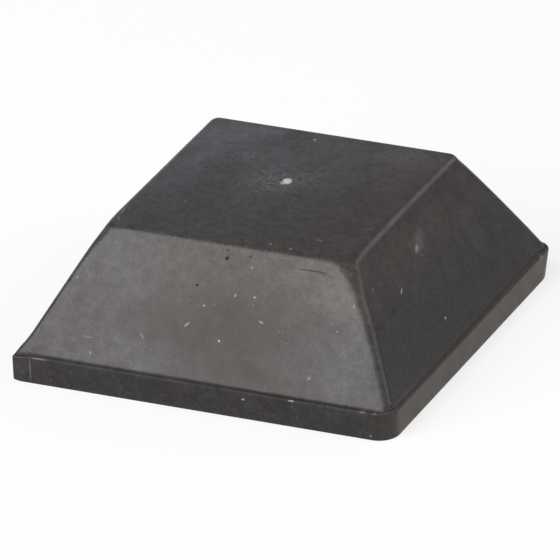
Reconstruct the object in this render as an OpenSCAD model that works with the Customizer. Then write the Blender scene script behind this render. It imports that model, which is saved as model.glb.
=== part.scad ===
// Rubber foot: a square, tapered stick-on foot, moulded in one piece.
// An upright band runs round the flat base. Above a narrow ledge, slopes rise to a
// smaller flat top, and their edges run together into a ball at each corner.
// The origin is at the centre of the base, with +Z up. All sizes are in millimetres.

/* [Base] */
// Side of the square base
base_side = 20.6; // [16:0.1:28]
// Height of the upright band round the base
band_h = 1.5; // [0.8:0.1:3]
// Radius of the band's four upright corners
band_corner_r = 1; // [0.4:0.05:1.3]
// Radius along the band's upper edge
band_edge_r = 0.15; // [0.05:0.01:0.18]
// Width of the ledge between the band's face and the foot of the slopes
ledge_w = 0.3; // [0.2:0.05:1]

/* [Taper] */
// Overall height
foot_h = 7.6; // [5:0.1:12]
// Side of the flat top, measured to where the slopes meet it before rounding
top_side = 13.2; // [8:0.1:14.4]
// Radius along the top's edges and along the hips, where two slopes meet
edge_r = 0.6; // [0.2:0.05:1]

/* [Hidden] */
$fn = 96;
// Side of the square where the slopes rise from the ledge
taper_foot = base_side - 2 * ledge_w;
// How far each slope runs inwards, and how far it rises
slope_run = (taper_foot - top_side) / 2;
slope_rise = foot_h - band_h;
// Angle of a slope above the ledge
slope_angle = atan2(slope_rise, slope_run);
// Half of the angle inside the rubber where a slope meets the top
top_half_angle = 90 - slope_angle / 2;
// Half of the angle inside the rubber where two slopes meet
hip_half_angle = 90 - acos(pow(cos(slope_angle), 2)) / 2;
// How far a hip leans from upright
hip_lean = atan2(slope_run * sqrt(2), slope_rise);
// Length of a hip before rounding
hip_len = norm([slope_run, slope_run, slope_rise]);
// Centre of the ball that rounds a corner of the top, across and up
ball_xy = top_side / 2 - edge_r * tan(slope_angle / 2);
ball_z = foot_h - edge_r;
// How far the slopes spread below the ledge, where they carry on into the band
root_spread = ledge_w / 4;
// Length by which a cut runs past the surface
overrun = 2;
// How far a rounding stands proud of true tangency, so that no sliver is left beside it
skim = 0.0002;
// Dark grey rubber
rubber_colour = [0.25, 0.25, 0.26];

// What is cut away to round a corner that lies at the origin, with the
// material towards -X and each of its faces half_angle from that axis
module corner_relief(half_angle, r, proud = skim) {
    centre = -r / sin(half_angle);
    side_x = centre + 2 * r * sin(half_angle);
    side_y = 2 * r * cos(half_angle);
    difference() {
        polygon([[centre, 0], [side_x, -side_y], [-centre, 0], [side_x, side_y]]);
        translate([centre, 0])
            circle(r + proud);
    }
}

// The children, at each of the four corners in turn
module at_corners() {
    for (quarter = [0:3])
        rotate(90 * quarter)
            children();
}

// What is cut away along the band's upper edge: one side and the corner after it
module band_edge_relief() {
    straight = base_side - 2 * band_corner_r;
    translate([base_side / 2, 0, band_h])
        rotate([90, 0, 0])
            linear_extrude(straight, center = true)
                rotate(45)
                    corner_relief(45, band_edge_r);
    translate([straight / 2, straight / 2, band_h])
        rotate_extrude(angle = 90)
            translate([band_corner_r, 0])
                rotate(45)
                    corner_relief(45, band_edge_r);
}

// Upright band with rounded corners and a rounded upper edge
module band() {
    difference() {
        linear_extrude(band_h)
            difference() {
                square(base_side, center = true);
                at_corners()
                    translate([base_side / 2, base_side / 2])
                        rotate(45)
                            corner_relief(45, band_corner_r, 0);
            }
        at_corners()
            band_edge_relief();
    }
}

// Section across the taper, with the top's edges rounded
module taper_section() {
    root_x = taper_foot / 2 + root_spread;
    root_z = band_h - root_spread * tan(slope_angle);
    difference() {
        polygon([
            [root_x, root_z],
            [top_side / 2, foot_h],
            [-top_side / 2, foot_h],
            [-root_x, root_z]
        ]);
        for (side = [0, 1])
            mirror([side, 0])
                translate([top_side / 2, foot_h])
                    rotate(top_half_angle)
                        corner_relief(top_half_angle, edge_r);
    }
}

// Section run from side to side, so that two slopes face along X
module slope_pair() {
    rotate([90, 0, 0])
        linear_extrude(base_side, center = true)
            taper_section();
}

// What is cut away along one hip
module hip_relief() {
    translate([taper_foot / 2, taper_foot / 2, band_h])
        rotate([0, -hip_lean, 45])
            translate([0, 0, -overrun])
                linear_extrude(hip_len + 2 * overrun)
                    corner_relief(hip_half_angle, edge_r);
}

// What is cut away to leave a ball where a hip meets two edges of the top
module ball_relief() {
    translate([ball_xy, ball_xy, ball_z])
        difference() {
            intersection() {
                translate([0, 0, -overrun])
                    cube(2 * overrun);
                rotate([0, -hip_lean, 45])
                    translate([-2 * overrun, -2 * overrun, 0])
                        cube(4 * overrun);
            }
            sphere(edge_r + 2 * skim);
        }
}

// Four slopes and the top, with every edge rounded
module taper() {
    difference() {
        intersection() {
            slope_pair();
            rotate(90)
                slope_pair();
        }
        at_corners() {
            hip_relief();
            ball_relief();
        }
    }
}

module rubber_foot() {
    color(rubber_colour)
        union() {
            band();
            taper();
        }
}

rubber_foot();
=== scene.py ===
"""A square, tapered rubber foot on a pale floor, in soft studio light."""

import math

import bmesh
import bpy
import numpy as np
from mathutils import Matrix, Vector


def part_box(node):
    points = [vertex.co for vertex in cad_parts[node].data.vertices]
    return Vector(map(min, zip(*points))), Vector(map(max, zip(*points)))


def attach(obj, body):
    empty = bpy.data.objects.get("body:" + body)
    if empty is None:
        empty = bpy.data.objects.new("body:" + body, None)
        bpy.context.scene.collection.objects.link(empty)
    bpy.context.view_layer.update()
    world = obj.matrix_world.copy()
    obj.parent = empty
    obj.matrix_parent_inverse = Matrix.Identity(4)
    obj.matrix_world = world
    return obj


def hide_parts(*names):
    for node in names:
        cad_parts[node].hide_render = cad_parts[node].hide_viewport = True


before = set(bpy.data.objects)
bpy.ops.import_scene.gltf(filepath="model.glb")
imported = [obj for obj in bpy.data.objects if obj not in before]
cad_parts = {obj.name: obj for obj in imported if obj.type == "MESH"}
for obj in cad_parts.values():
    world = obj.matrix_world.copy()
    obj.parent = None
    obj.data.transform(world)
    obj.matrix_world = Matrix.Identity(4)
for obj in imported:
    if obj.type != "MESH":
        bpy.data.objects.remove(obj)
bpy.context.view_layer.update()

NODE = "rubber_foot"
MM = 0.001

# Sizes of the moulded form, in millimetres
node_low, node_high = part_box(NODE)
BASE_SIDE = (node_high.x - node_low.x) / MM
FOOT_H = (node_high.z - node_low.z) / MM
BAND_H = 1.5
BAND_EDGE_R = 0.1
BASE_EDGE_R = 0.07
LEDGE_W = 0.3
TOP_SIDE = 13.2
EDGE_R = 0.6
SLOPE = math.atan2(FOOT_H - BAND_H, BASE_SIDE / 2 - LEDGE_W - TOP_SIDE / 2)

# The right, back, left and front corners in plan, and in that order the radii in plan: of the
# band's corners at the base and at the band's top, and of the hips at their feet and at the top
CORNERS = [(1, 1), (-1, 1), (-1, -1), (1, -1)]
BAND_CORNER_R = np.array([1.6, 1.0, 0.11, 1.05])
BAND_CORNER_TOP_R = np.array([0.9, 1.0, 0.11, 1.05])
HIP_R = np.array([0.35, 0.5, 0.28, 0.45])
HIP_TOP_R = np.array([0.65, 0.6, 0.65, 0.9])
# The higher this is, the later a hip turns to its radius at the top
HIP_POWER = 6

# Unevenness: how far the right slope swells near its front end and near its back end,
# at these shares of its height
SWELL_SHARES = (0, 0.5, 1)
SWELL, BACK_SWELL = (0.2, 0.46, 0.3), (0.0, 0.08, 0.15)
BACK_SWELL_POWER = 3
# How far the feet of the left and right hips flare, from where, and up to which share of the
# hips' height
LEFT_FLARE, RIGHT_FLARE = 0.27, 0.09
FLARE_REACH, FLARE_SHARE, FLARE_POWER = 0.5, 0.17, 1.5
# How far the left hip leans out at its foot, and up to which share of its height
LEAN, LEAN_SHARE = 0.07, 0.75
# Width of ledge that is left where a slope's foot comes nearest to the band's edge
LEDGE_LEAST = 0.045
# Where the band sinks: its left corner (-1) or its right one (1), how far, and from where
SINKS = [(-1, 0.12, 0.7), (1, 0.12, 0.9)]
# How far the base is worn up at its left corner, from where, and up to which height
LIFT, LIFT_REACH, LIFT_H = 0.09, 0.25, 0.4
# How deep the top's front and left corners are worn, from where, and in which direction
WEAR, WEAR_REACH = {(1, -1): 0.24, (-1, -1): 0.13}, 2.0
WEAR_INWARD, WEAR_DOWN = 0.45, 0.77

# The gate mark on the top: its place, the shallow well round it, and the groove that was torn
# in the well's middle
GATE_X, GATE_Y = 0.0, 0.9
WELL_R, WELL_DEPTH = 1.5, 0.025
TEAR_R, TEAR_W, TEAR_DEPTH = 0.33, 0.132, 0.045

# Points round the outline and rings over the form
SIDE_POINTS, CORNER_POINTS = 96, 14
BASE_RINGS, BASE_EDGE_RINGS = 16, 5
BAND_RINGS, BAND_EDGE_RINGS, LEDGE_RINGS = 8, 8, 4
SLOPE_RINGS, ROUNDING_RINGS, TOP_RINGS, WELL_RINGS = 56, 12, 36, 16
# Points nearer than this are joined, and edges that bend by more than this stay sharp
WELD_MM = 0.0005
SHARP_DEGREES = 35


def rounded_square(half, radii, z):
    """A ring round a square, with a radius for each of its corners."""
    side = np.linspace(0, 1, SIDE_POINTS, endpoint=False)
    angle = np.linspace(0, math.pi / 2, CORNER_POINTS, endpoint=False)
    ring = []
    for quarter in range(4):
        start, end = radii[quarter - 1] - half, half - radii[quarter]
        x = np.append(np.full(SIDE_POINTS, half), end + radii[quarter] * np.cos(angle))
        y = np.append(start + (end - start) * side, end + radii[quarter] * np.sin(angle))
        for _ in range(quarter):
            x, y = -y, x
        ring.append(np.column_stack([x, y, np.full(len(x), z)]))
    return np.concatenate(ring)


def edge_rings(half, corners, edge_r, z_centre, start, end, count):
    """Rings over a rounded edge of the band, between two angles above the level."""
    rings = []
    for tilt in np.linspace(start, end, count):
        out = edge_r * (1 - math.cos(tilt))
        rings.append(rounded_square(half - out, corners - out, z_centre + edge_r * math.sin(tilt)))
    return rings


def base_and_band():
    """From the middle of the base out to its edge, and up the band to the ledge."""
    half, top_of_face = BASE_SIDE / 2, BAND_H - BAND_EDGE_R
    low, high = BAND_CORNER_R, BAND_CORNER_TOP_R
    rings = []
    for share in np.linspace(0, 1, BASE_RINGS, endpoint=False):
        corners = (low - BASE_EDGE_R) * share
        rings.append(rounded_square((half - BASE_EDGE_R) * share, corners, 0.0))
    rings += edge_rings(half, low, BASE_EDGE_R, BASE_EDGE_R, -math.pi / 2, 0, BASE_EDGE_RINGS)
    for share in np.linspace(0, 1, BAND_RINGS)[1:-1]:
        z = BASE_EDGE_R + share * (top_of_face - BASE_EDGE_R)
        rings.append(rounded_square(half, low + share * (high - low), z))
    rings += edge_rings(half, high, BAND_EDGE_R, top_of_face, 0, math.pi / 2, BAND_EDGE_RINGS)
    return rings


def up_the_slope(z):
    """Share of the slopes' height."""
    return (z - BAND_H) / (FOOT_H - BAND_H)


def near_corner(ring, side, reach):
    """How near points lie to a ring's left corner (side -1) or right one (1), from 0 to 1."""
    x, y, _ = ring.T
    return np.clip((side * (x + y) / 2 - y.max() + reach) / reach, 0, 1)


def settle(ring):
    """The moulding's unevenness: the right slope's swell, and the flare and lean of two hips."""
    x, y, z = ring.T
    half, share = BASE_SIDE / 2, up_the_slope(z)
    front = np.clip(0.5 - 0.5 * y / half, 0, 1) * np.clip(x / half, 0, 1)
    back = np.clip(0.5 + 0.5 * y / y.max(), 0, 1) ** BACK_SWELL_POWER * np.clip(x / y.max(), 0, 1)
    swell = front * np.interp(share, SWELL_SHARES, SWELL)
    swell = swell + back * np.interp(share, SWELL_SHARES, BACK_SWELL)
    flare = np.clip(1 - share / FLARE_SHARE, 0, 1) ** FLARE_POWER
    lean = np.clip(1 - share / LEAN_SHARE, 0, 1)
    right = RIGHT_FLARE * flare * near_corner(ring, 1, FLARE_REACH)
    left = (LEFT_FLARE * flare + LEAN * lean) * near_corner(ring, -1, FLARE_REACH)
    return np.column_stack([x + swell + right - left, y - left, z])


def inside_ledge(ring):
    """Keeps the feet of the slopes just inside the band's upper edge."""
    half = BASE_SIDE / 2 - BAND_EDGE_R - LEDGE_LEAST
    flat = np.clip(ring[:, :2], -half, half)
    for corner, radius in zip(CORNERS, BAND_CORNER_TOP_R - BAND_EDGE_R):
        centre = (half - radius) * np.array(corner)
        away = flat - centre
        distance = np.linalg.norm(away, axis=1)
        over = (away * corner > 0).all(axis=1) & (distance > radius)
        flat[over] = centre + radius * away[over] / distance[over, None]
    return np.column_stack([flat, ring[:, 2]])


def sink(ring):
    """The band's upper edge and the hips' feet run down at two corners, and the base is worn."""
    x, y, z = ring.T
    level = np.clip(z / BAND_H, 0, 1) * np.clip(1 - up_the_slope(z) / FLARE_SHARE, 0, 1)
    drop = 0
    for side, depth, reach in SINKS:
        corner = near_corner(ring, side, reach)
        drop = drop + depth * corner ** 2 * (3 - 2 * corner) * level
    worn = near_corner(ring, -1, LIFT_REACH) ** 2 * np.clip(1 - z / LIFT_H, 0, 1)
    return np.column_stack([x, y, z - drop + LIFT * worn])


def wear(ring):
    """The worn front and left corners of the top."""
    for (across, back), depth in WEAR.items():
        corner = np.array([across * TOP_SIDE / 2, back * TOP_SIDE / 2, FOOT_H])
        near = np.clip(1 - np.linalg.norm(ring - corner, axis=1) / WEAR_REACH, 0, 1)
        inward = np.array([-WEAR_INWARD * across, -WEAR_INWARD * back, -WEAR_DOWN])
        ring = ring + depth * (near ** 2)[:, None] * inward
    return ring


def taper():
    """Up the slopes and over the top's rounded edges."""
    tangent_z = FOOT_H - EDGE_R * (1 - math.cos(SLOPE))
    rings = []
    for z in np.linspace(BAND_H, tangent_z, SLOPE_RINGS):
        half = TOP_SIDE / 2 + (FOOT_H - z) / math.tan(SLOPE)
        radii = HIP_R + up_the_slope(z) ** HIP_POWER * (HIP_TOP_R - HIP_R)
        rings.append(rounded_square(half, radii, z))
    for tilt in np.linspace(SLOPE, 0, ROUNDING_RINGS)[1:]:
        inward = EDGE_R * (math.sin(SLOPE) - math.sin(tilt))
        z = FOOT_H - EDGE_R * (1 - math.cos(tilt))
        rings.append(rounded_square(half - inward, radii - inward, z))
    return [inside_ledge(settle(ring)) for ring in rings]


def well_depth(radius):
    """Depth of the gate's well and of the groove in its middle."""
    well = WELL_DEPTH * (0.5 + 0.5 * np.cos(np.pi * np.clip(radius / WELL_R, 0, 1)))
    groove = TEAR_DEPTH * np.exp(-(((radius - TEAR_R) / TEAR_W) ** 2))
    return well + groove


def top_face(outer):
    """Rings over the flat top, which turn from its square edge into circles round the gate."""
    gate = np.array([GATE_X, GATE_Y])
    away = outer[:, :2] - gate
    circle = gate + WELL_R * away / np.linalg.norm(away, axis=1, keepdims=True)
    rings = []
    for share in np.linspace(0, 1, TOP_RINGS)[1:]:
        flat = outer[:, :2] + share * (circle - outer[:, :2])
        rings.append(np.column_stack([flat, np.full(len(flat), FOOT_H)]))
    for share in np.linspace(1, 0, WELL_RINGS)[1:]:
        flat = gate + share * (circle - gate)
        depth = well_depth(share * WELL_R)
        rings.append(np.column_stack([flat, np.full(len(flat), FOOT_H - depth)]))
    return rings


def form_rings():
    """Every ring, from the middle of the base round and up to the gate mark."""
    rings = base_and_band()
    slopes = taper()
    edge = rings[-1]
    for share in np.linspace(0, 1, LEDGE_RINGS)[1:-1]:
        rings.append(edge + share * (slopes[0] - edge))
    sides = [sink(ring) for ring in rings + slopes]
    return [wear(ring) for ring in sides + top_face(slopes[-1])]


def mesh_from_rings(name, rings):
    """A closed skin through rings of equal length, which ends in a point at each end."""
    count = len(rings[0])
    here = np.arange(count)
    ahead = np.roll(here, -1)
    quads = []
    for low in range(len(rings) - 1):
        a, b = low * count, (low + 1) * count
        quads.append(np.stack([a + here, a + ahead, b + ahead, b + here], 1))
    mesh = bpy.data.meshes.new(name)
    mesh.from_pydata((np.concatenate(rings) * MM).tolist(), [], np.concatenate(quads).tolist())
    return mesh


def weld(mesh, distance):
    """Joins points that lie on each other and drops the faces that this leaves empty."""
    work = bmesh.new()
    work.from_mesh(mesh)
    bmesh.ops.remove_doubles(work, verts=work.verts, dist=distance)
    bmesh.ops.dissolve_degenerate(work, edges=work.edges, dist=distance)
    bmesh.ops.recalc_face_normals(work, faces=work.faces)
    work.to_mesh(mesh)
    work.free()


def build_foot():
    """The foot's skin, as one object."""
    mesh = mesh_from_rings("foot_skin", form_rings())
    weld(mesh, WELD_MM * MM)
    mesh.shade_smooth()
    mesh.set_sharp_from_angle(angle=math.radians(SHARP_DEGREES))
    foot = bpy.data.objects.new("rubber_foot_skin", mesh)
    bpy.context.scene.collection.objects.link(foot)
    return foot


# Materials

# Places of the colours among a Mix node's inputs, and of the mixed colour among its outputs
MIX_FIRST, MIX_SECOND, MIX_RESULT = 6, 7, 2


class Nodes:
    """Short ways to add and join the nodes of one material."""

    def __init__(self, name):
        self.material = bpy.data.materials.new(name)
        self.material.use_nodes = True
        self.tree = self.material.node_tree
        self.tree.nodes.clear()

    def add(self, kind, inputs=None, **settings):
        """A new node, with values or other nodes' sockets for its inputs."""
        node = self.tree.nodes.new("ShaderNode" + kind)
        for key, value in settings.items():
            setattr(node, key, value)
        for key, value in (inputs or {}).items():
            self.put(node.inputs[key], value)
        return node

    def put(self, socket, value):
        """Joins another node's socket to an input, or sets the input's value."""
        if isinstance(value, bpy.types.NodeSocket):
            self.tree.links.new(value, socket)
        else:
            socket.default_value = value

    def math(self, operation, *values):
        """The result of one operation on numbers."""
        return self.add("Math", dict(enumerate(values)), operation=operation).outputs[0]

    def noise(self, place, scale, detail, roughness):
        """Cloudy noise, mostly between 0 and 1."""
        inputs = {"Vector": place, "Scale": scale, "Detail": detail, "Roughness": roughness}
        return self.add("TexNoise", inputs).outputs["Fac"]

    def ramp(self, value, low, high, out_low=0.0, out_high=1.0):
        """Turns a value between two limits smoothly into one between two others."""
        limits = {"From Min": low, "From Max": high, "To Min": out_low, "To Max": out_high}
        node = self.add("MapRange", {"Value": value, **limits}, interpolation_type="SMOOTHSTEP")
        return node.outputs["Result"]

    def between(self, value, low, low_full, high_full, high):
        """1 between two limits, fading out to 0 past both."""
        return self.times(self.ramp(value, low, low_full), self.ramp(value, high, high_full))

    def times(self, first, *others):
        """The product of some values."""
        for other in others:
            first = self.math("MULTIPLY", first, other)
        return first

    def most(self, first, *others):
        """The greatest of some values."""
        for other in others:
            first = self.math("MAXIMUM", first, other)
        return first

    def rest(self, share):
        """What a share leaves."""
        return self.math("SUBTRACT", 1.0, share)

    def mix(self, share, first, second):
        """The first colour, with a share of the second one over it."""
        inputs = {0: share, MIX_FIRST: first, MIX_SECOND: second}
        return self.add("Mix", inputs, data_type="RGBA").outputs[MIX_RESULT]

    def show(self, shader):
        """Makes a shader the material's surface."""
        self.put(self.add("OutputMaterial").inputs["Surface"], shader.outputs[0])
        return self.material


# Colours of the rubber and of what lies on it, of the painted light and shade on it, and the tint
# of its gloss

RUBBER = (0.0125, 0.0112, 0.0104, 1)
RUBBER_WORN = (0.029, 0.0262, 0.0245, 1)
# Also the colour of the painted light on the right slope's upper part
HAZE_AND_PAINTED_LIGHT = (0.058, 0.059, 0.063, 1)
# Also the colour of the painted light on the right slope and of the painted floor reflection on the
# band's front corner
WARM_HAZE_AND_PAINTED_LIGHT = (0.069, 0.0625, 0.059, 1)
# A darker tone for the band and the front slope's middle, and the colour of the painted shade at
# the right slope's foot
DARK_TONE_AND_PAINTED_SHADE = (0.0065, 0.0058, 0.0050, 1)
# Brown tint for the band's right-facing faces
BROWN_TINT = (0.043, 0.027, 0.014, 1)
# Painted light that lifts the shade in the crease at the right slope's foot
PAINTED_CREASE_LIGHT = (0.046, 0.042, 0.040, 1)
BLOOM_COOL = (0.082, 0.084, 0.100, 1)
BLOOM_WARM = (0.062, 0.057, 0.056, 1)
DUST = (0.20, 0.195, 0.19, 1)
SPECK_AND_HIGHLIGHT = (0.52, 0.51, 0.49, 1)
SCUFF = (0.16, 0.16, 0.165, 1)
PIT = (0.006, 0.005, 0.005, 1)
GLOSS_TINT = (1.0, 0.93, 0.91, 1)

# The grain and the coarser mottle of the rubber: scale per millimetre, detail and roughness.
# Wear follows the mottle and this much of the grain. Grain and wear fade between two limits
GRAIN, GRAIN_LIMITS = (9.0, 4.0, 0.75), (0.36, 0.64)
MOTTLE, GRAIN_IN_WORN, WORN_LIMITS = (2.2, 4.0, 0.7), 1.5, (0.95, 1.55)
# Shares of the haze with its painted light and of the bloom at the limits of the wear, and of the
# band's darker tone and of the painted shade at the right slope's foot at the limits of the grain
WORN_IN_HAZE_AND_LIGHT, WORN_IN_BLOOM = (0.66, 1.34), (0.54, 0.84)
GRAIN_IN_BAND_DARK, GRAIN_IN_RIGHT_SHADE = (1.25, 0.6), (1.3, 0.4)

# Patches: scale per millimetre, detail, roughness, two limits, and the shares at those limits
BLOOM_PATCHES = (0.6, 4.0, 0.6, 0.3, 0.72, 0.65, 1.15)
HAZE_PATCHES = (1.1, 6.0, 0.72, 0.32, 0.7, 0.35, 0.85)
BAND_DARK_PATCHES = (0.8, 5.0, 0.65, 0.3, 0.65, 0.95, 0.45)
SCRATCHES = (4.5, 4.0, 0.7, 0.4, 0.7, 0.0, 1.0)
CHALK_PATCHES = (0.7, 4.0, 0.6, 0.75, 0.55, 0.0, 1.0)
# The same for the roughness of clean, satin rubber
SATIN_PATCHES = (0.9, 4.0, 0.6, 0.3, 0.7, 0.29, 0.37)
# How far the bloom's patches are drawn out, and their turn in degrees
STREAK_STRETCH, STREAK_TURN = 2.2, 35

# Heights in millimetres between which films, tints, the band's darker tone and painted light fade
# in, or in and out again
HAZE_HEIGHTS = (BAND_H - 0.2, BAND_H + 0.2)
WARM_HEIGHTS = (4.0, 6.0)
BAND_DARK_HEIGHTS = (BAND_H + 0.1, BAND_H - 0.1)
BROWN_HEIGHTS = (BAND_H, BAND_H - 0.2)
DULL_HEIGHTS = (BAND_H + 0.05, BAND_H - 0.1)
LEDGE_HEIGHTS = (BAND_H - 0.12, BAND_H - 0.02, BAND_H + 0.02, BAND_H + 0.2)
RIM_HEIGHTS = (BAND_H - 0.16, BAND_H - 0.06, BAND_H, BAND_H + 0.1)
# Places from left to right, in millimetres, between which films, colours and painted light fade in
WARM_ACROSS, COOL_ACROSS = (-6.0, 0.0), (6.0, -2.0)
DUST_ACROSS, LEDGE_ACROSS = (-6.0, 0.0), (9.2, 9.9)
# How far a surface faces up, forward (below 0) or right where films and tints fade in, or in and
# out again
TOP_FACING, FRONT_FACING, RIGHT_FACING = (0.86, 0.97), (-0.2, -0.7), (0.3, 0.9)
EDGE_FACING_UP, EDGE_FACING_FRONT = (0.55, 0.7, 0.95, 0.995), (0.0, -0.2)

# Bloom: how much being to the left adds to being at the back, between which places it thickens,
# and its shares there
BLOOM_LEFT, BLOOM_PLACES, BLOOM_SHARES = -0.3, (-6.5, 6.5), (0.28, 0.7)
# Shares that are left of the haze off the front slope and on the band, and of the brown tint above
# the band
HAZE_OFF_FRONT, HAZE_ON_BAND, BROWN_ABOVE = 0.22, 0.25, 0.08
# Shares of the brown tint, of the front slope's darker middle, of the haze with its painted light,
# of the painted light in the right ledge's crease and of the dust where they are full
BROWN_SHARE, DARKER_MIDDLE_SHARE, HAZE_AND_LIGHT_SHARE, CREASE_LIGHT_SHARE, DUST_SHARE = 0.6, 0.6, 0.66, 0.6, 0.42
# Dust: cells per millimetre, how much the front edge adds to the number that a cell draws, the
# numbers between which its crumb fades in, and the crumb's outer and inner radius in cells
DUST_SCALE, DUST_ON_EDGE, DUST_DRAWS, DUST_RADII = 4.4, 0.5, (0.74, 1.0), (0.22, 0.08)

# What full dullness and pits add to the roughness, and how dull the bloom and the band are
DULL, PIT_DULL, BLOOM_DULL, BAND_DULL = 0.35, 0.6, 0.3, 0.12
# Gloss, and the relief of the grain in millimetres, with a pit's depth as a multiple of it
SPECULAR_LEVEL = 0.32
RELIEF_STRENGTH, RELIEF_MM, PIT_RELIEF = 0.25, 0.02, -2.0


class Face:
    """A flat face: a point on it in millimetres, the way across it and the way up it."""

    def __init__(self, origin, across, up):
        self.origin, self.across, self.up = Vector(origin), Vector(across), Vector(up)
        self.out = self.across.cross(self.up)

    def place(self, across, up):
        """The point at these distances from the face's own point."""
        return self.origin + across * self.across + up * self.up

    def turned(self, turn):
        """Euler angles of axes along the mark, over it and out of the face."""
        angle = math.radians(turn)
        along = math.cos(angle) * self.across + math.sin(angle) * self.up
        return Matrix((along, self.out.cross(along), self.out)).transposed().to_euler()


def make_faces():
    """The faces that carry marks."""
    half = BASE_SIDE / 2
    run, rise, foot = math.cos(SLOPE), math.sin(SLOPE), half - LEDGE_W
    return {
        "top": Face((0, 0, FOOT_H), (1, 0, 0), (0, 1, 0)),
        "front": Face((0, -foot, BAND_H), (1, 0, 0), (0, run, rise)),
        "right": Face((foot, 0, BAND_H), (0, 1, 0), (-run, 0, rise)),
        "band_front": Face((0, -half, 0), (1, 0, 0), (0, 0, 1)),
        "band_right": Face((half, 0, 0), (0, 1, 0), (0, 0, 1)),
    }


# Marks, in millimetres: face, across it, up it, length, width, turn in degrees, strength

# Pale nicks and crumbs, and a painted highlight on the top's front left corner
SPECKS_AND_HIGHLIGHT = [
    ("front", 1.0, 4.5, 0.17, 0.11, 80, 0.3),
    ("front", 2.05, 4.55, 0.1, 0.1, 0, 0.5),
    ("front", -0.55, 3.75, 0.1, 0.09, 0, 0.4),
    ("front", 0.55, 2.15, 0.1, 0.1, 0, 0.75),
    ("front", 7.35, 4.9, 0.14, 0.11, 70, 0.25),
    ("front", 6.7, 3.55, 0.11, 0.1, 0, 0.25),
    ("front", 5.6, 1.05, 0.18, 0.13, 40, 0.22),
    ("front", -6.2, 0.55, 0.14, 0.12, 60, 0.22),
    ("front", -7.55, 4.15, 0.09, 0.09, 0, 0.3),
    ("front", 2.6, 3.4, 0.26, 0.09, -12, 0.32),
    ("front", -1.3, 2.7, 0.32, 0.09, 42, 0.36),
    ("front", -3.6, 1.8, 0.46, 0.09, -55, 0.13),
    ("front", -6.45, 1.3, 0.44, 0.08, -5, 0.13),
    ("front", 1.65, 6.0, 0.14, 0.1, 30, 0.25),
    ("top", -0.6, 5.6, 0.12, 0.16, 0, 0.5),
    ("top", 2.2, -6.0, 0.12, 0.18, 0, 0.2),
    ("top", 3.35, -6.15, 0.16, 0.18, 0, 0.2),
    ("top", 4.3, -4.8, 0.36, 0.13, 0, 0.12),
    ("top", -3.8, -3.0, 0.12, 0.16, 0, 0.12),
    # Painted highlight along the rounded edge at the top's front left corner
    ("top", -6.32, -5.0, 0.9, 0.1, 95, 0.11),
    ("top", -6.2, -5.75, 0.5, 0.1, 115, 0.09),
    ("right", -0.8, 4.9, 0.5, 0.22, 20, 0.3),
    ("right", -0.35, 5.1, 1.7, 0.7, 20, 0.06),
    ("right", -0.3, 5.25, 0.12, 0.1, 0, 0.2),
    ("right", -1.15, 5.35, 0.12, 0.1, 0, 0.16),
    ("right", -0.7, 4.45, 0.12, 0.1, 0, 0.16),
    ("right", 4.5, 3.6, 2.6, 1.5, 88, 0.018),
    ("right", -3.95, 3.95, 0.36, 0.1, 26, 0.45),
    ("right", -1.6, 1.25, 0.15, 0.13, 0, 0.5),
    ("right", -6.1, 5.1, 0.16, 0.12, 0, 0.12),
    ("band_front", 2.35, 1.1, 0.18, 0.12, 0, 0.3),
    ("band_front", 4.95, 1.45, 0.3, 0.07, 0, 0.4),
    ("band_front", 9.2, 0.25, 0.13, 0.13, 0, 0.22),
    ("band_front", 8.8, 1.47, 0.34, 0.05, 0, 0.15),
    ("band_front", 9.4, 1.47, 0.22, 0.05, 0, 0.13),
    ("band_front", -9.3, 0.8, 1.3, 0.05, 90, 0.16),
    ("band_front", -8.8, 1.44, 0.8, 0.06, 0, 0.2),
    ("band_right", 8.6, 1.42, 0.18, 0.12, 0, 0.3),
]

# Dark pits and a hairline scratch
PITS = [
    ("front", 0.25, 6.25, 0.2, 0.16, 30, 0.8),
    ("front", -1.1, 4.7, 0.13, 0.12, 0, 0.9),
    ("front", 0.2, 6.65, 0.14, 0.12, 0, 0.45),
    ("front", 1.5, 6.5, 0.14, 0.12, 0, 0.4),
    ("front", 4.9, 6.3, 1.7, 0.07, 1, 0.5),
    ("front", 5.6, 6.22, 0.9, 0.05, -6, 0.35),
]

# The gate mark's pale, torn middle, and the scuffs on the top
GATE_MARKS = [
    ("top", GATE_X, GATE_Y, 0.44, 0.62, 20, 0.8),
    ("top", GATE_X - 0.12, GATE_Y - 0.3, 0.26, 0.3, 0, 0.5),
]
SCUFFS = [
    ("top", GATE_X - 0.5, GATE_Y - 0.2, 2.6, 2.4, 20, 0.5),
    ("top", GATE_X + 0.8, GATE_Y + 0.4, 1.8, 1.6, 0, 0.36),
    ("top", GATE_X - 3.2, GATE_Y + 1.9, 2.0, 1.6, 30, 0.22),
    ("top", GATE_X + 4.4, GATE_Y + 4.3, 2.6, 0.8, 10, 0.2),
]

# Places in the front slope's middle that are darker and have less haze
DARKER_MIDDLE = [
    ("front", 0.5, 2.6, 8.8, 4.4, 4, 0.95),
    ("front", 2.2, 0.8, 6.4, 2.0, 0, 0.95),
]
# Places on the front slope made lighter with more of the haze colour
LIGHTER_PATCHES = [
    ("front", -5.2, 5.2, 5.0, 3.0, 0, 0.28),
    ("front", 6.4, 5.5, 3.8, 2.6, -25, 0.65),
    ("front", -3.4, 0.9, 3.4, 1.2, 0, 0.7),
    ("front", 7.1, 1.6, 5.0, 3.0, 40, 0.36),
]
# Painted light on the right slope's upper part, and painted shade towards its foot
PAINTED_RIGHT_LIGHT = [
    ("right", -1.0, 4.9, 9.0, 3.2, 0, 0.38),
    ("right", 6.3, 4.8, 4.2, 1.0, -56, 0.32),
    ("right", 0.8, 3.2, 6.0, 0.8, 6, 0.2),
]
PAINTED_RIGHT_SHADE = [("right", -1.5, 1.6, 24.0, 5.0, 0, 0.6)]
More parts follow.
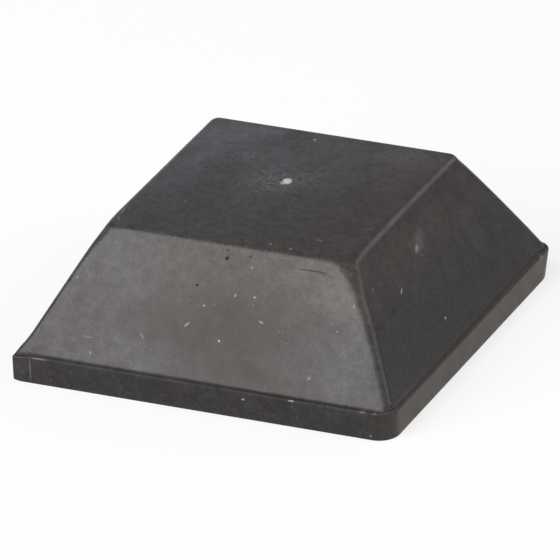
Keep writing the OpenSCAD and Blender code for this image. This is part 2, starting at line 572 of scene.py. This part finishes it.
# Places where the top's bloom is thick
BLOOM_CORNERS = [
    ("top", -5.2, 4.8, 3.4, 2.6, 40, 0.55),
    ("top", 4.6, 5.2, 3.6, 1.8, 0, 0.45),
    ("top", -5.5, 0.3, 2.4, 4.2, 0, 0.34),
    ("top", -3.6, 5.6, 2.2, 1.2, 5, 0.6),
]
# The band's left corner without the band's darker tone, and a painted reflection of the floor on
# its front corner
UNDARKENED_CORNER = [("band_front", -10.2, 0.75, 1.9, 3.0, 0, 0.9)]
PAINTED_CORNER_REFLECTION = [("band_right", -9.8, 0.75, 1.1, 1.9, 0, 0.28)]

# Outlines of the marks: how far they are pushed about in millimetres, how finely, per
# millimetre, and the share of a mark's size over which it fades
SPECK_AND_HIGHLIGHT_EDGE = (0.08, 8.0, 0.4)
PIT_EDGE = (0.08, 8.0, 0.3)
SCUFF_EDGE = (0.8, 1.6, 0.8)
DARKER_MIDDLE_EDGE = (2.4, 0.4, 0.75)
LIGHTER_AND_PAINTED_LIGHT_EDGE = (2.0, 0.6, 0.8)
PAINTED_SHADE_EDGE = (1.5, 0.5, 0.6)
BLOOM_EDGE = (1.6, 0.6, 0.75)
UNDARKENED_EDGE = (0.0, 1.0, 0.2)
PAINTED_REFLECTION_EDGE = (0.6, 1.0, 0.6)
# Detail of the noise that pushes them about
PUSH_DETAIL = 2.0
# How far into its face and out of it a mark reaches at least, in millimetres
MARK_REACH = 1.0


class Rubber(Nodes):
    """The satin rubber with its bloom, pale film, dust, pits and scuffs, and some painted light and
    shade.
    """

    def __init__(self):
        super().__init__("satin_rubber")
        self.faces = make_faces()
        coordinates = self.add("TexCoord")
        self.mm = self.vector("SCALE", coordinates.outputs["Object"], Scale=1 / MM)
        self.x, self.y, self.z = self.parts(self.mm)
        self.facing = self.parts(coordinates.outputs["Normal"])
        self.grain = self.noise(self.mm, *GRAIN)
        mottle = self.noise(self.mm, *MOTTLE)
        self.worn = self.math("MULTIPLY_ADD", self.grain, GRAIN_IN_WORN, mottle)
        self.bloom = self.make_bloom()
        self.pits = self.marks(PITS, PIT_EDGE)
        self.specks_and_highlight = self.marks(SPECKS_AND_HIGHLIGHT + GATE_MARKS, SPECK_AND_HIGHLIGHT_EDGE)

    def vector(self, operation, *values, **inputs):
        """The result of one operation on vectors, with its inputs in order or by name."""
        inputs = {**dict(enumerate(values)), **inputs}
        return self.add("VectorMath", inputs, operation=operation).outputs[0]

    def parts(self, vector):
        """A vector's three parts."""
        return self.add("SeparateXYZ", {0: vector}).outputs

    def wobbled(self, amount, scale):
        """The place in millimetres, pushed about so that outlines come out ragged."""
        push = self.add("TexNoise", {"Vector": self.mm, "Scale": scale, "Detail": PUSH_DETAIL})
        centred = self.vector("SUBTRACT", push.outputs["Color"], (0.5, 0.5, 0.5))
        return self.vector("MULTIPLY_ADD", centred, (amount,) * 3, self.mm)

    def mark(self, place, row, soft):
        """How much of a mark covers a point; soft is the share of its size that fades."""
        face, across, up, length, width, turn, strength = row
        face = self.faces[face]
        mapping = self.add("Mapping", {
            "Vector": place,
            "Location": face.place(across, up),
            "Rotation": face.turned(turn),
            "Scale": (length / 2, width / 2, max(width, MARK_REACH)),
        }, vector_type="TEXTURE")
        distance = self.add("VectorMath", {0: mapping.outputs[0]}, operation="LENGTH")
        return self.ramp(distance.outputs["Value"], 1 + soft, 1 - soft, 0.0, strength)

    def marks(self, rows, edge):
        """How much of the strongest of some marks covers a point."""
        amount, scale, soft = edge
        place = self.wobbled(amount, scale)
        return self.most(*[self.mark(place, row, soft) for row in rows])

    def patches(self, place, row):
        """Patchy noise, turned into a share."""
        return self.ramp(self.noise(place, *row[:3]), *row[3:])

    def streaked(self):
        """The place in millimetres, drawn out along one way of the top."""
        mapping = self.add("Mapping", {
            "Vector": self.mm,
            "Rotation": (0, 0, math.radians(STREAK_TURN)),
            "Scale": (1, 1 / STREAK_STRETCH, 1),
        })
        return mapping.outputs[0]

    def make_bloom(self):
        """Grey bloom on the top, which thickens towards its back and left."""
        on_top = self.ramp(self.facing[2], *TOP_FACING)
        backward = self.math("MULTIPLY_ADD", self.x, BLOOM_LEFT, self.y)
        thick = self.ramp(backward, *BLOOM_PLACES, *BLOOM_SHARES)
        thick = self.math("ADD", thick, self.marks(BLOOM_CORNERS, BLOOM_EDGE))
        return self.times(thick, self.patches(self.streaked(), BLOOM_PATCHES), on_top)

    def haze_and_light(self, darker_middle):
        """A thin dull film, thickest on the front slope and thinner in its darker middle, with
        painted light on the right slope's upper part.
        """
        forward = self.ramp(self.facing[1], *FRONT_FACING, HAZE_OFF_FRONT, 1.0)
        above_band = self.ramp(self.z, *HAZE_HEIGHTS, HAZE_ON_BAND, 1.0)
        patchy = self.patches(self.mm, HAZE_PATCHES)
        patchy = self.math("ADD", patchy, self.marks(LIGHTER_PATCHES, LIGHTER_AND_PAINTED_LIGHT_EDGE))
        on_front = self.times(patchy, self.rest(darker_middle), forward, above_band)
        # Painted light on the right slope's upper part
        return self.math("ADD", on_front, self.marks(PAINTED_RIGHT_LIGHT, LIGHTER_AND_PAINTED_LIGHT_EDGE))

    def band_darkening(self):
        """A darker tone on the band."""
        on_band = self.ramp(self.z, *BAND_DARK_HEIGHTS)
        bare = self.marks(UNDARKENED_CORNER, UNDARKENED_EDGE)
        return self.times(on_band, self.patches(self.mm, BAND_DARK_PATCHES), self.rest(bare))

    def dust(self):
        """Fine pale crumbs, in a share of the cells of a fine mesh, and more on the front edge."""
        cells = self.add("TexVoronoi", {"Vector": self.mm, "Scale": DUST_SCALE})
        draw = self.parts(cells.outputs["Color"])[0]
        bent = self.between(self.facing[2], *EDGE_FACING_UP)
        forward = self.ramp(self.facing[1], *EDGE_FACING_FRONT)
        edge = self.times(bent, forward, self.ramp(self.x, *DUST_ACROSS))
        chosen = self.ramp(self.math("MULTIPLY_ADD", edge, DUST_ON_EDGE, draw), *DUST_DRAWS)
        return self.times(self.ramp(cells.outputs["Distance"], *DUST_RADII), chosen)

    def toned_and_painted(self):
        """The bare rubber's colour, with a darker tone and a brown tint on the band, a painted
        floor reflection on its front corner, and painted shade towards the right slope's foot.
        """
        colour = self.mix(self.ramp(self.worn, *WORN_LIMITS), RUBBER, RUBBER_WORN)
        band_darkening = self.times(self.band_darkening(), self.ramp(self.grain, *GRAIN_LIMITS, *GRAIN_IN_BAND_DARK))
        colour = self.mix(band_darkening, colour, DARK_TONE_AND_PAINTED_SHADE)
        on_band = self.ramp(self.z, *BROWN_HEIGHTS, BROWN_ABOVE, 1.0)
        brown = self.times(self.ramp(self.facing[0], *RIGHT_FACING), on_band, BROWN_SHARE)
        colour = self.mix(brown, colour, BROWN_TINT)
        # Painted reflection of the floor on the band's front corner
        colour = self.mix(self.marks(PAINTED_CORNER_REFLECTION, PAINTED_REFLECTION_EDGE), colour, WARM_HAZE_AND_PAINTED_LIGHT)
        # Painted shade towards the right slope's foot
        right_shade = self.marks(PAINTED_RIGHT_SHADE, PAINTED_SHADE_EDGE)
        right_shade = self.times(right_shade, self.ramp(self.grain, *GRAIN_LIMITS, *GRAIN_IN_RIGHT_SHADE))
        return self.mix(right_shade, colour, DARK_TONE_AND_PAINTED_SHADE)

    def filmed_and_painted(self, colour):
        """A colour with the front slope's darker middle, the pale film, the bloom, and painted
        light on the right slope and in the right ledge's crease over it.
        """
        darker_middle = self.marks(DARKER_MIDDLE, DARKER_MIDDLE_EDGE)
        colour = self.mix(self.times(darker_middle, DARKER_MIDDLE_SHARE), colour, DARK_TONE_AND_PAINTED_SHADE)
        speckled = self.ramp(self.worn, *WORN_LIMITS, *WORN_IN_HAZE_AND_LIGHT)
        # The haze, with the painted light on the right slope's upper part
        haze_and_light = self.times(self.haze_and_light(darker_middle), HAZE_AND_LIGHT_SHARE, speckled)
        warm = self.times(self.ramp(self.z, *WARM_HEIGHTS), self.ramp(self.x, *WARM_ACROSS))
        colour = self.mix(haze_and_light, colour, self.mix(warm, HAZE_AND_PAINTED_LIGHT, WARM_HAZE_AND_PAINTED_LIGHT))
        bloom = self.times(self.bloom, self.ramp(self.worn, *WORN_LIMITS, *WORN_IN_BLOOM))
        cool = self.ramp(self.x, *COOL_ACROSS)
        colour = self.mix(bloom, colour, self.mix(cool, BLOOM_WARM, BLOOM_COOL))
        # Painted light that lifts the shade in the crease between the right slope and its ledge
        on_ledge = self.between(self.z, *LEDGE_HEIGHTS)
        ledge = self.times(on_ledge, self.ramp(self.x, *LEDGE_ACROSS), CREASE_LIGHT_SHARE)
        return self.mix(ledge, colour, PAINTED_CREASE_LIGHT)

    def marked(self, colour):
        """A colour with the scuffs, the dust, the pits, the pale nicks and a painted highlight on
        it.
        """
        scratchy = self.patches(self.mm, SCRATCHES)
        scuffs = self.times(self.marks(SCUFFS, SCUFF_EDGE), scratchy)
        colour = self.mix(scuffs, colour, SCUFF)
        colour = self.mix(self.times(self.dust(), DUST_SHARE), colour, DUST)
        colour = self.mix(self.pits, colour, PIT)
        return self.mix(self.specks_and_highlight, colour, SPECK_AND_HIGHLIGHT)

    def roughness(self):
        """Satin, and duller in the nicks and the painted highlight, the bloom and the pits, on the
        band and along its rim.
        """
        rim = self.between(self.z, *RIM_HEIGHTS)
        chalky = self.times(rim, self.patches(self.mm, CHALK_PATCHES))
        in_bloom = self.times(self.bloom, BLOOM_DULL)
        on_band = self.times(self.ramp(self.z, *DULL_HEIGHTS), BAND_DULL)
        dull = self.most(self.specks_and_highlight, chalky, in_bloom, on_band)
        satin = self.patches(self.mm, SATIN_PATCHES)
        roughness = self.math("MULTIPLY_ADD", dull, DULL, satin)
        return self.math("MULTIPLY_ADD", self.pits, PIT_DULL, roughness)

    def build(self):
        """The finished material."""
        height = self.math("MULTIPLY_ADD", self.pits, PIT_RELIEF, self.grain)
        relief = {"Height": height, "Strength": RELIEF_STRENGTH, "Distance": RELIEF_MM * MM}
        return self.show(self.add("BsdfPrincipled", {
            "Base Color": self.marked(self.filmed_and_painted(self.toned_and_painted())),
            "Roughness": self.roughness(),
            "Specular IOR Level": SPECULAR_LEVEL,
            "Specular Tint": GLOSS_TINT,
            "Normal": self.add("Bump", relief).outputs[0],
        }))


# Studio

# Floor: radius in metres, points round its rim, and colour
FLOOR_RADIUS, FLOOR_POINTS = 0.6, 96
FLOOR_COLOUR = (0.78, 0.78, 0.78, 1)
# How much plain white the camera and mirrors see in the floor; the rest keeps the shadow
FLOOR_WHITE = 0.75
WHITE = (1, 1, 1, 1)
# Soft lamps: name, azimuth and elevation in degrees, width and height in metres, brightness
LAMPS = [
    ("front_left", -28, 40, 0.46, 0.60, 4.7),
    ("right_back", 132, 30, 0.62, 0.20, 2.0),
    ("right_high", 94, 38, 0.22, 0.13, 3.0),
]
# How far the lamps are from the origin, in metres
LAMP_DISTANCE = 0.5
WORLD_COLOUR, WORLD_STRENGTH = (1.0, 0.98, 0.975, 1), 0.28


def floor_material():
    """Pale grey, which the camera and mirrors see as nearly white, apart from the shadow."""
    nodes = Nodes("pale_floor")
    path = nodes.add("LightPath").outputs
    seen = nodes.most(path["Is Camera Ray"], path["Is Glossy Ray"], path["Is Transmission Ray"])
    grey = nodes.add("BsdfDiffuse", {"Color": FLOOR_COLOUR}).outputs[0]
    glow = nodes.add("Emission", {"Color": WHITE, "Strength": 1.0}).outputs[0]
    white = nodes.add("MixShader", {0: FLOOR_WHITE, 1: grey, 2: glow}).outputs[0]
    return nodes.show(nodes.add("MixShader", {0: seen, 1: grey, 2: white}))


def build_floor():
    """A round, flat floor at the foot's base."""
    mesh = bpy.data.meshes.new("floor")
    turn = np.linspace(0, 2 * math.pi, FLOOR_POINTS, endpoint=False)
    rim = np.stack([FLOOR_RADIUS * np.cos(turn), FLOOR_RADIUS * np.sin(turn), 0 * turn], 1)
    mesh.from_pydata(rim.tolist(), [], [list(range(len(rim)))])
    mesh.materials.append(floor_material())
    floor = bpy.data.objects.new("floor", mesh)
    bpy.context.scene.collection.objects.link(floor)


def direction(azimuth, elevation):
    """Unit vector towards a place round the object; azimuth 0 is in front, 90 on its right."""
    a, e = math.radians(azimuth), math.radians(elevation)
    return Vector((math.sin(a) * math.cos(e), -math.cos(a) * math.cos(e), math.sin(e)))


def softbox(name, azimuth, elevation, width, height, brightness):
    """A rectangular lamp that faces the object; its brightness is what a mirror would show."""
    lamp = bpy.data.lights.new(name, "AREA")
    lamp.shape = "RECTANGLE"
    lamp.size, lamp.size_y = width, height
    lamp.energy = brightness * math.pi * width * height
    item = bpy.data.objects.new(name, lamp)
    toward = direction(azimuth, elevation)
    item.location = toward * LAMP_DISTANCE
    item.rotation_mode = "QUATERNION"
    item.rotation_quaternion = toward.to_track_quat("Z", "Y")
    bpy.context.scene.collection.objects.link(item)


def build_light():
    """The lamps, and a dim, even world round them."""
    for lamp in LAMPS:
        softbox(*lamp)
    world = bpy.data.worlds.new("studio")
    world.use_nodes = True
    background = world.node_tree.nodes["Background"]
    background.inputs["Color"].default_value = WORLD_COLOUR
    background.inputs["Strength"].default_value = WORLD_STRENGTH
    bpy.context.scene.world = world


# Camera, matched to the photograph

# Side of the photograph in pixels, and the sensor's width in millimetres
IMAGE_SIDE = 560
SENSOR = 36.0
# Angles in degrees, distance from the aim in millimetres, and the picture's scale at the aim
CAMERA_AZIMUTH, CAMERA_ELEVATION, CAMERA_ROLL = 25.48, 26.35, -2.73
CAMERA_DISTANCE = 523.8
PIXELS_PER_MM = 19.973
# The aim in millimetres: a height over the base, and from there to the right and up in the view
AIM_Z = 3.0
AIM_RIGHT, AIM_UP = -0.187, -0.495
# What is nearer or farther than this isn't shown, in metres
CLIP_START, CLIP_END = 0.01, 10


def build_camera():
    """The photograph's camera."""
    back = direction(CAMERA_AZIMUTH, CAMERA_ELEVATION)
    azimuth, roll = math.radians(CAMERA_AZIMUTH), math.radians(CAMERA_ROLL)
    level = Vector((math.cos(azimuth), math.sin(azimuth), 0))
    upright = back.cross(level)
    right = math.cos(roll) * level + math.sin(roll) * upright
    up = math.cos(roll) * upright - math.sin(roll) * level
    place = Vector((0, 0, AIM_Z)) + AIM_RIGHT * right + AIM_UP * up + CAMERA_DISTANCE * back
    data = bpy.data.cameras.new("camera")
    data.sensor_width = SENSOR
    data.lens = PIXELS_PER_MM * CAMERA_DISTANCE / IMAGE_SIDE * SENSOR
    data.clip_start, data.clip_end = CLIP_START, CLIP_END
    camera = bpy.data.objects.new("camera", data)
    axes = Matrix((right, up, back)).transposed().to_4x4()
    camera.matrix_world = Matrix.Translation(place * MM) @ axes
    bpy.context.scene.collection.objects.link(camera)
    bpy.context.scene.camera = camera


build_camera()
build_floor()
build_light()
foot = build_foot()
foot.data.materials.append(Rubber().build())
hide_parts(NODE)
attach(foot, "root")
bpy.context.scene.view_settings.view_transform = "Standard"
